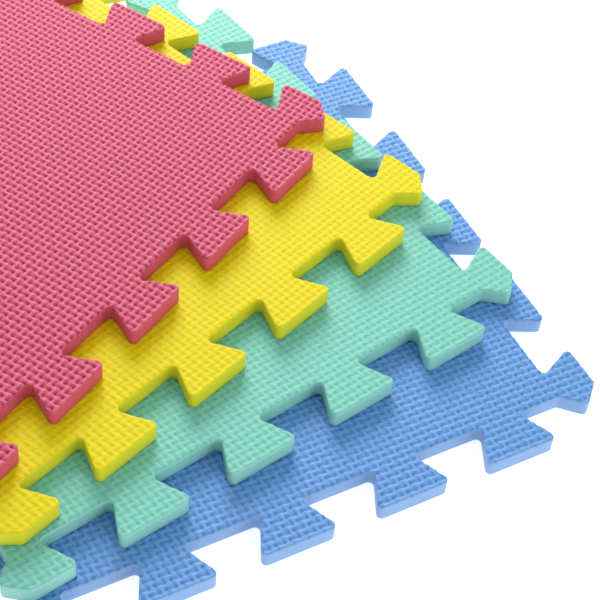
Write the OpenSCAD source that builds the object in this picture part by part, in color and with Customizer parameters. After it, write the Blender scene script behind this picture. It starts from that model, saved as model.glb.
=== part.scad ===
// Blocking mats: four interlocking foam tiles, stacked flat and fanned out.
// Origin: centre of the lowest mat's underside. +Z is up and the mats lie in the XY plane.
// Each mat is die-cut from one sheet, so one closed outline makes it, and any side mates with any other.

/* [Mat] */
// Nominal side of a mat, measured midway between the tab ends and the notch bottoms
mat_side = 305; // [240:5:420]
// Thickness of the foam
mat_thick = 10; // [6:0.5:16]

/* [Interlocking edge] */
// Tabs along each side, with as many notches between them
tabs_per_side = 5; // [3:1:8]
// Depth of the tabs, from the notch bottoms to the tab ends
tab_depth = 21.5; // [12:0.5:24]
// How much wider a tab is at its shoulders than at its middle, on each flank
tab_flare = 5.2; // [2:0.1:6]
// Radius of the die-cut corners and of the fillets that they mate with
corner_radius = 2.6; // [0.5:0.1:3]

/* [Fanned stack] */
// Centre of the green mat, sideways and forwards from the blue one
green_shift = [-26, 44]; // [-80:1:80]
// Turn of the green mat about the vertical, in degrees
green_turn = 10; // [0:1:45]
// Centre of the yellow mat, sideways and forwards from the blue one
yellow_shift = [-57, 84.5]; // [-120:0.5:120]
// Turn of the yellow mat about the vertical, in degrees
yellow_turn = 20.5; // [0:0.5:45]
// Centre of the red mat, sideways and forwards from the blue one
red_shift = [-94, 119.5]; // [-160:0.5:160]
// Turn of the red mat about the vertical, in degrees
red_turn = 29; // [0:1:45]

/* [Hidden] */
// Short straight steps that make up each rounded corner
arc_steps = 5;
// Air left between a mat and the one it lies on, so that the two only just don't touch
air_gap = 0.02;
half_side = mat_side / 2;
half_depth = tab_depth / 2;
pitch = mat_side / tabs_per_side;
// Half widths of a tab where it leaves the mat and at its shoulders. They add up to
// half a pitch, so the notches have the same shape as the tabs.
neck_half = pitch / 4 - tab_flare;
shoulder_half = pitch / 4 + tab_flare;

// Corners of one side, as [distance along the side, distance outwards from its nominal line].
// The side starts at a corner of the mat with a half-width tab and ends with a notch.
function corner_tab_points() = [
    [0, 0],
    [half_depth, half_depth],
    [pitch / 4 + shoulder_half, half_depth],
    [pitch / 4 + neck_half, -half_depth]
];
function tab_points(centre) = [
    [centre - neck_half, -half_depth],
    [centre - shoulder_half, half_depth],
    [centre + shoulder_half, half_depth],
    [centre + neck_half, -half_depth]
];
function side_points() = concat(
    corner_tab_points(),
    [for (i = [1:tabs_per_side - 1]) each tab_points((i + 1 / 4) * pitch)],
    [[mat_side - half_depth, -half_depth]]
);

// A side's points moved to the front of the mat, then turned to the side's own quarter
function turned(p, angle) = [
    p[0] * cos(angle) - p[1] * sin(angle),
    p[0] * sin(angle) + p[1] * cos(angle)
];
function mat_corners() = [
    for (quarter = [0:3], p = side_points())
        turned([p[0] - half_side, -half_side - p[1]], 90 * quarter)
];

// One corner, rounded: points of the arc that touches both edges meeting at b
function unit(v) = v / norm(v);
function bend(a, b, c) = let (u = unit(b - a), v = unit(c - b))
    atan2(u[0] * v[1] - u[1] * v[0], u[0] * v[0] + u[1] * v[1]);
function rounded(a, b, c, r) = let (
    u = unit(b - a),
    turn = bend(a, b, c),
    side = sign(turn),
    start = b - u * r * abs(tan(turn / 2)),
    centre = start + side * r * [-u[1], u[0]]
) [
    for (i = [0:arc_steps])
        centre + turned(start - centre, turn * i / arc_steps)
];
function mat_outline() = let (corners = mat_corners(), n = len(corners)) [
    for (i = [0:n - 1])
        each rounded(corners[(i + n - 1) % n], corners[i], corners[(i + 1) % n], corner_radius)
];

// One mat, lying flat with the middle of its underside at the origin
module mat() {
    linear_extrude(height = mat_thick)
        polygon(mat_outline());
}

// A mat at its place in the fan; level counts the mats under it
module placed_mat(shift, turn, level) {
    translate([shift[0], shift[1], level * (mat_thick + air_gap)])
        rotate(turn)
            mat();
}

module blue_mat() {
    color("cornflowerblue")
        placed_mat([0, 0], 0, 0);
}

module green_mat() {
    color("mediumaquamarine")
        placed_mat(green_shift, green_turn, 1);
}

module yellow_mat() {
    color("gold")
        placed_mat(yellow_shift, yellow_turn, 2);
}

module red_mat() {
    color("palevioletred")
        placed_mat(red_shift, red_turn, 3);
}

blue_mat();
green_mat();
yellow_mat();
red_mat();
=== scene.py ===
"""Four interlocking foam blocking mats, spread in a fan on a pale floor.

Each mat is one closed mesh with a moulded top of staircase grooves, die-cut dovetail edges
and a plain underside. All four are the same tile, but each has its own foam colour, gloss and
depth of pattern.
"""

import math

import bpy
import numpy as np
from mathutils import Matrix, Vector, noise
from mathutils.geometry import delaunay_2d_cdt


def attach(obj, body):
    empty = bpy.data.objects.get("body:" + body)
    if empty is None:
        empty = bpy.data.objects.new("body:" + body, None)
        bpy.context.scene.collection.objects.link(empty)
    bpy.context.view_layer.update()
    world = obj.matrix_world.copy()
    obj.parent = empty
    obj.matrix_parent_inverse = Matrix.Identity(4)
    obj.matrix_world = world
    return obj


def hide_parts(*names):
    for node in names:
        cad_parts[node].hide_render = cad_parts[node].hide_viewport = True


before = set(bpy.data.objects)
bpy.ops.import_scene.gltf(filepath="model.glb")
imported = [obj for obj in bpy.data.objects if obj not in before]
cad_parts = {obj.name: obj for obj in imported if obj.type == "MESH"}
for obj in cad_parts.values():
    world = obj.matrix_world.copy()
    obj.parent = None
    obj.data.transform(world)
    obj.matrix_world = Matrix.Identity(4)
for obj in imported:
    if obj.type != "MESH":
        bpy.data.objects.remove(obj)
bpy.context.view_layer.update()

# Constants are in metres and degrees unless a comment says otherwise.
MM = 0.001

# Tile, as in the CAD part
SIDE = 305 * MM
THICK = 10 * MM
TABS = 5
DEPTH = 21.5 * MM
FLARE = 5.2 * MM
CORNER_RADIUS = 2.6 * MM
ARC_STEPS = 5
AIR_GAP = 0.02 * MM
PITCH = SIDE / TABS
NECK_HALF = PITCH / 4 - FLARE
SHOULDER_HALF = PITCH / 4 + FLARE

# Moulded pattern: a lattice of steps whose odd points are pushed off the grid
STEP = 3.9 * MM
LINES = (0, 0.85, 1.95, 3.05)  # where the mesh cuts each step, in mm
REACH = 45  # steps from the tile's centre to past its tabs
ODD_PUSH = (1.0 * MM, -0.95 * MM)
UNPUSH_ROUNDS = 6
# A groove's depth, as a share of the full depth, at these distances in mm from its middle
GROOVE_PROFILE = ((0, 0.45, 0.85, 1.2, 1.95), (1, 0.70, 0.18, 0, 0))
GROOVE_DEPTH = 0.8 * MM
# The dip where two grooves meet: its radius, and its depth on top of the groove's
NODE_HALF = 1.6 * MM
NODE_EXTRA = 0.4 * MM
# How strongly grooves, their meeting points and the wall's rim take the groove colour:
# painted shade, a darker colour standing in for the shade that falls in these dips
GROOVE_PAINTED_SHADE = 0.65
NODE_PAINTED_SHADE = 0.55
WALL_PAINTED_SHADE = 0.6

# Slow rise and fall of the sheet
WAVE = 0.12 * MM
WAVES_PER_METRE = 22
WAVE_SLICE = 3.1

# The least gap between the top face and the CAD tile's top
CLEARANCE = 0.04 * MM

# Rim: spacing of the outline's points, how far the top face and its pattern stay inside
# the outline, and how far below the face's edge the wall starts
RIM_SPACING = 1.1 * MM
RIM_INSET = 0.35 * MM
GRID_MARGIN = 0.8 * MM
RIM_DROP = 0.3 * MM
RIM_SHARE = 0.9  # of the pattern's drop, at the top of the wall

# Rings of the wall under the rim: inset, height, share of the pattern's drop, cut or not
WALL_RINGS = (
    (0, THICK * 0.72, 0, 1),
    (0, THICK * 0.35, 0, 1),
    (0, 0.45 * MM, 0, 1),
    (0.3 * MM, 0.08 * MM, 0, 1),
    (1.0 * MM, 0.0, 0, 0),
)

# Two edges whose cross product is smaller meet without a corner
STRAIGHT = 1e-9
# Points closer than this are one
MERGE = 1e-7

# name, level from the floor, shift of the centre in mm, turn, crispness of the pattern,
# gloss, rib colour, groove colour (painted shade: darker than the rib colour, for the shade
# in the grooves), cut colour
MATS = (
    ("blue", 0, (0, 0), 0, 0.78, 0.55, "#5F97D3", "#427BC2", "#7AA0CE"),
    ("green", 1, (-26, 44), 10, 0.45, 0.5, "#74C2B1", "#5DB1A0", "#8CCCBE"),
    ("yellow", 2, (-57, 84.5), 20.5, 0.44, 0.2, "#DCCE02", "#D2C000", "#D4D02C"),
    ("red", 3, (-94, 119.5), 29, 1.0, 0.35, "#D85A7A", "#8C1034", "#C85068"),
)

# Camera, as the photograph was taken
CAMERA_PLACE = (-0.2318, -0.5041, 0.6265)
CAMERA_AZIMUTH = -120.972
CAMERA_ELEVATION = 48.168
CAMERA_ROLL = -4.979
CAMERA_LENS = 95.06  # mm
SENSOR_WIDTH = 36  # mm

# Light: a point in the mats that the lamps face, then each lamp's place, size and watts
LIT_POINT = (-0.05, 0.05, 0.02)
KEY = ((0.4, 1.0, 0.7), 0.7, 17)
FILL = ((0.5, -1.4, 0.5), 1.2, 7.5)
WORLD_STRENGTH = 0.66

# Floor: its size, how far it lies under the lowest mat, and its surface
FLOOR_SIZE = 60
FLOOR_GAP = 0.0002
FLOOR_WHITE = 0.92
FLOOR_ROUGHNESS = 0.8
FLOOR_GLOW = 0.6

# Foam: the scale of each texture and, for noise, its detail
PATCHES = (9.0, 3.0)
SPECKLE = (900.0, 2.0)
CELL_SCALE = 1400.0
# The most that random patches add of the darker painted-shade groove colour, and speckle of
# soft white
PATCH_TINT = 0.10
SPECKLE_TINT = 0.12
ROUGHNESS = (0.45, 0.65)
# The strength of each bump, and the depth of both
SPECKLE_BUMP = 0.25
CELL_BUMP = 0.20
BUMP_DEPTH = 0.2 * MM


# ---- outline ----------------------------------------------------------------------------


def corner_tab():
    """The tab that takes in the tile's corner, as points along and out from one side."""
    reach = PITCH / 4
    return [
        (0, 0),
        (DEPTH / 2, DEPTH / 2),
        (reach + SHOULDER_HALF, DEPTH / 2),
        (reach + NECK_HALF, -DEPTH / 2),
    ]


def tab(centre):
    """One dovetail tab round that point of the side."""
    return [
        (centre - NECK_HALF, -DEPTH / 2),
        (centre - SHOULDER_HALF, DEPTH / 2),
        (centre + SHOULDER_HALF, DEPTH / 2),
        (centre + NECK_HALF, -DEPTH / 2),
    ]


def sharp_outline():
    """The die's corner points, anticlockwise round the tile's centre."""
    side = corner_tab()
    for i in range(1, TABS):
        side += tab((i + 1 / 4) * PITCH)
    side.append((SIDE - DEPTH / 2, -DEPTH / 2))
    points = []
    for quarter in range(4):
        c, s = math.cos(quarter * math.pi / 2), math.sin(quarter * math.pi / 2)
        for along, out in side:
            x, y = along - SIDE / 2, -SIDE / 2 - out
            points.append((c * x - s * y, s * x + c * y))
    return np.array(points)


def rounded(a, b, c):
    """The arc that replaces corner b between a and c."""
    u = (b - a) / np.linalg.norm(b - a)
    v = (c - b) / np.linalg.norm(c - b)
    turn = math.atan2(u[0] * v[1] - u[1] * v[0], u @ v)
    side = math.copysign(1, turn)
    start = b - u * CORNER_RADIUS * abs(math.tan(turn / 2))
    centre = start + side * CORNER_RADIUS * np.array((-u[1], u[0]))
    arc = []
    for i in range(ARC_STEPS + 1):
        angle = turn * i / ARC_STEPS
        x, y = start - centre
        arc.append(centre + (x * math.cos(angle) - y * math.sin(angle),
                             x * math.sin(angle) + y * math.cos(angle)))
    return arc


def fine_outline():
    """The rounded outline, with no two neighbours further apart than the rim spacing."""
    sharp = sharp_outline()
    n = len(sharp)
    bends = []
    for i in range(n):
        before, here, after = sharp[i - 1], sharp[i], sharp[(i + 1) % n]
        if abs(cross(here - before, after - here)) > STRAIGHT:
            bends += rounded(before, here, after)
        else:
            bends.append(here)
    fine = []
    for i, p in enumerate(bends):
        q = bends[(i + 1) % len(bends)]
        parts = max(1, math.ceil(np.linalg.norm(q - p) / RIM_SPACING))
        fine += [p + (q - p) * k / parts for k in range(parts)]
    return np.array(fine)


def cross(a, b):
    """The upright part of the cross product of two flat vectors."""
    return a[..., 0] * b[..., 1] - a[..., 1] * b[..., 0]


def outward(loop):
    """The outward unit normal at each point of an anticlockwise loop."""
    ahead = np.roll(loop, -1, 0) - loop
    ahead /= np.linalg.norm(ahead, axis=1, keepdims=True)
    both = ahead + np.roll(ahead, 1, 0)
    both /= np.linalg.norm(both, axis=1, keepdims=True)
    return np.stack([both[:, 1], -both[:, 0]], 1)


# ---- moulded top ------------------------------------------------------------------------


def push(u, v):
    """How far the pattern is pushed off its grid at that many steps along and up."""
    w = 0.5 * (1 - np.cos(math.pi * u) * np.cos(math.pi * v))
    return w * ODD_PUSH[0], w * ODD_PUSH[1]


def unpush(x, y):
    """The steps along and up that the pattern puts at x, y."""
    u, v = x / STEP, y / STEP
    for _ in range(UNPUSH_ROUNDS):
        dx, dy = push(u, v)
        u, v = (x - dx) / STEP, (y - dy) / STEP
    return u, v


def grooves(u, v):
    """How deep the pattern is, from 0 on a rib to 1 along the middle of the grooves.

    Grooves run right from even points and up from odd ones, so they climb in staircases.
    The other two ways between points stay raised and tie the ribs together.
    """
    i, j = np.floor(u), np.floor(v)
    s, t = u - i, v - j
    even = (i + j) % 2 == 0
    below_even = np.minimum(np.minimum(t, 1 - s), np.hypot(s, 1 - t))
    below_odd = np.minimum(np.minimum(1 - t, s), np.hypot(1 - s, t))
    away = np.where(even, below_even, below_odd) * STEP / MM
    return np.interp(away, *GROOVE_PROFILE)


def nodes(u, v):
    """1 at the points where two grooves meet, fading out round them."""
    away = np.hypot(u - np.round(u), v - np.round(v)) * STEP / NODE_HALF
    return np.clip(1 - away, 0, 1)


def waves(x, y):
    """A slow rise and fall of the sheet, as soft foam has."""
    places = (
        Vector((a * WAVES_PER_METRE, b * WAVES_PER_METRE, WAVE_SLICE)) for a, b in zip(x, y)
    )
    return np.array([noise.noise(place) for place in places]) * WAVE


def relief(deep, node):
    """How far the pattern drops below the ribs, before each mat's own crispness."""
    return deep * GROOVE_DEPTH + node * NODE_EXTRA


def inside(points, loop):
    """Which points the loop encloses."""
    within = np.zeros(len(points), bool)
    after = np.roll(loop, -1, 0)
    for p, q in zip(loop, after):
        if p[1] == q[1]:
            continue
        across = (p[1] > points[:, 1]) != (q[1] > points[:, 1])
        at = p[0] + (points[:, 1] - p[1]) * (q[0] - p[0]) / (q[1] - p[1])
        within ^= across & (points[:, 0] < at)
    return within


def lattice(loop):
    """The flat places of the pattern's mesh points that lie inside the loop."""
    lines = []
    for i in range(-REACH, REACH + 1):
        lines += [i + line * MM / STEP for line in LINES]
    u, v = (a.ravel() for a in np.meshgrid(lines, lines))
    dx, dy = push(u, v)
    points = np.stack([u * STEP + dx, v * STEP + dy], 1)
    return points[inside(points, loop)]


# ---- one tile ---------------------------------------------------------------------------


def moulded_top(outline, out):
    """The top face seen flat: its points, its faces, and which points are its edge."""
    rim = outline - out * RIM_INSET
    field = lattice(outline - out * GRID_MARGIN)
    points = [Vector(p) for p in np.concatenate([rim, field])]
    edges = [(i, (i + 1) % len(rim)) for i in range(len(rim))]
    found = delaunay_2d_cdt(points, edges, [], 1, MERGE)
    flat = np.array([tuple(p) for p in found[0]])
    faces = [tuple(f) for f in found[2]]
    place = {origin: k for k, origins in enumerate(found[3]) for origin in origins}
    return flat, faces, [place[i] for i in range(len(rim))]


def band(above, below):
    """The faces between two rings of points."""
    n = len(above)
    return [(above[(i + 1) % n], above[i], below[i], below[(i + 1) % n]) for i in range(n)]


def tile_mesh():
    """The tile's faces and vertices, and each vertex's drop, share of painted groove shade
    and cut share.
    """
    outline = fine_outline()
    out = outward(outline)
    flat, faces, edge = moulded_top(outline, out)
    u, v = unpush(flat[:, 0], flat[:, 1])
    deep, node = grooves(u, v), nodes(u, v)
    height = THICK - CLEARANCE - WAVE + waves(flat[:, 0], flat[:, 1])
    verts = [np.column_stack([flat, height])]
    drop = [relief(deep, node)]
    # Painted shade: grooves and the points where they meet get a darker colour, standing in
    # for the shade in these dips.
    painted_groove_shade = [np.clip(deep * GROOVE_PAINTED_SHADE + node * NODE_PAINTED_SHADE, 0, 1)]
    cut = [np.zeros(len(flat))]

    above = edge
    count = len(flat)
    rim_ring = (0, height[edge] - RIM_DROP, RIM_SHARE, 1)
    for inset, level, share, is_cut in (rim_ring, *WALL_RINGS):
        levels = np.broadcast_to(level, len(edge))
        verts.append(np.column_stack([outline - out * inset, levels]))
        drop.append(drop[0][edge] * share)
        # The rim takes part of the painted groove shade.
        painted_groove_shade.append(painted_groove_shade[0][edge] * share * WALL_PAINTED_SHADE)
        cut.append(np.full(len(edge), float(is_cut)))
        below = list(range(count, count + len(edge)))
        count += len(edge)
        faces += band(above, below)
        above = below
    faces += underside(verts[-1][:, :2], above)
    return faces, *(np.concatenate(part) for part in (verts, drop, painted_groove_shade, cut))


def underside(loop, index):
    """The flat faces that close the tile below. The index tells each loop point's vertex."""
    edges = [(i, (i + 1) % len(loop)) for i in range(len(loop))]
    found = delaunay_2d_cdt([Vector(p) for p in loop], edges, [], 1, MERGE)
    back = [index[origins[0]] for origins in found[3]]
    return [tuple(back[k] for k in reversed(f)) for f in found[2]]


def set_values(mesh, name, values):
    """Stores one number per vertex."""
    layer = mesh.attributes.new(name, "FLOAT", "POINT")
    layer.data.foreach_set("value", values.astype(np.float32))


def build_mat(tile, name, level, shift, turn, crispness):
    """One mat from the shared tile, lying at its level of the fan."""
    faces, verts, drop, painted_groove_shade, cut = tile
    lowered = verts - np.outer(drop * crispness, (0, 0, 1))
    mesh = bpy.data.meshes.new(name + "_foam_tile")
    mesh.from_pydata(lowered.tolist(), [], faces)
    mesh.shade_smooth()
    # The share of painted groove shade, for the foam shader.
    set_values(mesh, "painted_groove_shade", painted_groove_shade)
    set_values(mesh, "cut", cut)
    centre = Matrix.Translation((shift[0] * MM, shift[1] * MM, level * (THICK + AIR_GAP)))
    mesh.transform(centre @ Matrix.Rotation(math.radians(turn), 4, "Z"))
    obj = bpy.data.objects.new(name + "_foam_tile", mesh)
    bpy.context.scene.collection.objects.link(obj)
    return obj


# ---- foam -------------------------------------------------------------------------------


def linear(hex_colour):
    """A screen colour as the numbers that a shader takes, by the sRGB curve."""
    parts = [int(hex_colour[i:i + 2], 16) / 255 for i in (1, 3, 5)]
    return [p / 12.92 if p <= 0.04045 else ((p + 0.055) / 1.055) ** 2.4 for p in parts] + [1]


class Nodes:
    """A short way to add and join shader nodes."""

    def __init__(self, name):
        self.material = bpy.data.materials.new(name)
        self.material.use_nodes = True
        self.tree = self.material.node_tree
        self.shader = self.tree.nodes["Principled BSDF"]

    def add(self, kind, settings=None, **inputs):
        """Adds a node. An input is a value, or another node's output to join."""
        node = self.tree.nodes.new(kind)
        for key, value in (settings or {}).items():
            setattr(node, key, value)
        for key, value in inputs.items():
            self.put(node.inputs[key.replace("_", " ")], value)
        return node

    def put(self, socket, value):
        """Sets a socket to a value or joins an output to it."""
        if isinstance(value, bpy.types.NodeSocket):
            self.tree.links.new(value, socket)
        else:
            socket.default_value = value

    def mix(self, amount, a, b, blend="MIX"):
        """Mixes two colours."""
        node = self.add("ShaderNodeMix", {"data_type": "RGBA", "blend_type": blend})
        self.put(node.inputs["Factor"], amount)
        self.put(node.inputs["A"], a)
        self.put(node.inputs["B"], b)
        return [o for o in node.outputs if o.type == "RGBA"][0]

    def scale(self, value, low, high):
        """Spreads a 0 to 1 value from low to high."""
        node = self.add("ShaderNodeMapRange", Value=value)
        self.put(node.inputs["To Min"], low)
        self.put(node.inputs["To Max"], high)
        return node.outputs["Result"]

    def noise(self, where, scale, detail):
        """A noise texture's 0 to 1 value."""
        node = self.add("ShaderNodeTexNoise", Vector=where, Scale=scale, Detail=detail)
        return node.outputs["Fac"]

    def value_of(self, name):
        """The stored number of that name."""
        return self.add("ShaderNodeAttribute", {"attribute_name": name}).outputs["Fac"]


def foam(name, gloss, rib, painted_groove_shade, cut):
    """Matte closed-cell foam: ribs and cut sides each have their own colour, and the grooves
    have a darker painted shade.
    """
    n = Nodes(name)
    where = n.add("ShaderNodeTexCoord").outputs["Object"]
    patches = n.noise(where, *PATCHES)
    speckle = n.noise(where, *SPECKLE)
    cells = n.add("ShaderNodeTexVoronoi", Vector=where, Scale=CELL_SCALE).outputs["Distance"]
    # Painted shade: mixes in the darker groove colour by the stored share, in place of the
    # shade that falls in the grooves.
    colour = n.mix(n.value_of("painted_groove_shade"), linear(rib), linear(painted_groove_shade))
    colour = n.mix(n.value_of("cut"), colour, linear(cut))
    colour = n.mix(n.scale(patches, 0.0, PATCH_TINT), colour, linear(painted_groove_shade))
    colour = n.mix(n.scale(speckle, 0.0, SPECKLE_TINT), colour, (1, 1, 1, 1), "SOFT_LIGHT")
    n.put(n.shader.inputs["Base Color"], colour)
    n.put(n.shader.inputs["Roughness"], n.scale(speckle, *ROUGHNESS))
    n.put(n.shader.inputs["Specular IOR Level"], gloss)
    skin = n.add("ShaderNodeBump", Height=speckle, Strength=SPECKLE_BUMP, Distance=BUMP_DEPTH)
    grain = n.add("ShaderNodeBump", Height=cells, Strength=CELL_BUMP, Distance=BUMP_DEPTH,
                  Normal=skin.outputs["Normal"])
    n.put(n.shader.inputs["Normal"], grain.outputs["Normal"])
    return n.material


# ---- stage ------------------------------------------------------------------------------


def floor():
    """The pale ground that the mats lie on."""
    bpy.ops.mesh.primitive_plane_add(size=FLOOR_SIZE, location=(0, 0, -FLOOR_GAP))
    plane = bpy.context.object
    plane.name = "floor"
    n = Nodes("floor_white")
    n.put(n.shader.inputs["Base Color"], (FLOOR_WHITE, FLOOR_WHITE, FLOOR_WHITE, 1))
    n.put(n.shader.inputs["Roughness"], FLOOR_ROUGHNESS)
    n.put(n.shader.inputs["Emission Color"], (1, 1, 1, 1))
    n.put(n.shader.inputs["Emission Strength"], FLOOR_GLOW)
    plane.data.materials.append(n.material)


def area_light(name, place, size, power):
    """A soft square lamp that faces the mats."""
    data = bpy.data.lights.new(name, "AREA")
    data.size = size
    data.energy = power
    lamp = bpy.data.objects.new(name, data)
    lamp.location = place
    aim = Vector(LIT_POINT) - Vector(place)
    lamp.rotation_euler = aim.to_track_quat("-Z", "Y").to_euler()
    bpy.context.scene.collection.objects.link(lamp)


def light():
    """An even white surround, a soft key from behind and a low fill from the front right."""
    world = bpy.data.worlds.new("studio")
    world.use_nodes = True
    background = world.node_tree.nodes["Background"]
    background.inputs["Color"].default_value = (1, 1, 1, 1)
    background.inputs["Strength"].default_value = WORLD_STRENGTH
    bpy.context.scene.world = world
    area_light("key", *KEY)
    area_light("fill", *FILL)
    bpy.context.scene.view_settings.view_transform = "Standard"


def camera():
    """The photograph's viewpoint."""
    data = bpy.data.cameras.new("camera")
    data.lens = CAMERA_LENS
    data.sensor_width = SENSOR_WIDTH
    az, el = math.radians(CAMERA_AZIMUTH), math.radians(CAMERA_ELEVATION)
    back = Vector((math.cos(el) * math.cos(az), math.cos(el) * math.sin(az), math.sin(el)))
    right = Vector((0, 0, 1)).cross(back).normalized()
    axes = Matrix((right, back.cross(right), back)).transposed().to_4x4()
    obj = bpy.data.objects.new("camera", data)
    obj.matrix_world = (Matrix.Translation(CAMERA_PLACE) @ axes
                        @ Matrix.Rotation(math.radians(-CAMERA_ROLL), 4, "Z"))
    bpy.context.scene.collection.objects.link(obj)
    bpy.context.scene.camera = obj


# ---- build ------------------------------------------------------------------------------

tile = tile_mesh()
for colour, level, shift, turn, crispness, gloss, rib, painted_groove_shade, cut in MATS:
    mat = build_mat(tile, colour, level, shift, turn, crispness)
    mat.data.materials.append(foam(colour + "_foam", gloss, rib, painted_groove_shade, cut))
    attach(mat, colour + "_mat")
    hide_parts(colour + "_mat")
floor()
light()
camera()
